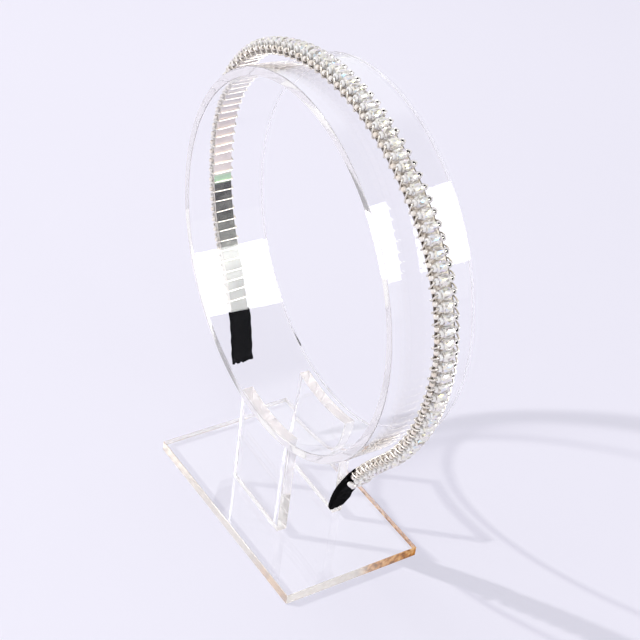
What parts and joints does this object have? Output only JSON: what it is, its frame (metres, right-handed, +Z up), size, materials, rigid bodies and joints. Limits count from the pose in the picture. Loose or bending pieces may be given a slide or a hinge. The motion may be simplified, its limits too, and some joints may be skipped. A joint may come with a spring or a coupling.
{
  "type": "crystal headband on a clear display stand",
  "caption": "Narrow steel headband wound with wire and cut glass beads, its ends in black ribbon, over a clear tube on an acrylic stand.",
  "frame": {"origin": "middle of the underside of the stand's base plate, on the table", "axes": "+Z up, +Y along the axis of the tube towards the far end, +X to the right seen from the near end"},
  "size_m": [0.1465, 0.0562, 0.1776],
  "materials": {
    "clear_acrylic": "clear, polished",
    "polished_steel": "mirror polished",
    "cut_glass": "faceted, with a faint iridescent coat",
    "silver_wire": "polished",
    "black_ribbon": "woven grosgrain, matt",
    "champagne_glass": "pearly seed bead",
    "silver_glass": "silver lined seed bead"
  },
  "bodies": {
    "root": {"base_plate": "clear_acrylic", "upright_near": "clear_acrylic", "upright_far": "clear_acrylic", "display_tube": "clear_acrylic", "band": "polished_steel", "crystals": "cut_glass", "wire": "silver_wire", "sleeve_left": "black_ribbon", "sleeve_right": "black_ribbon"}
  },
  "joints": []
}
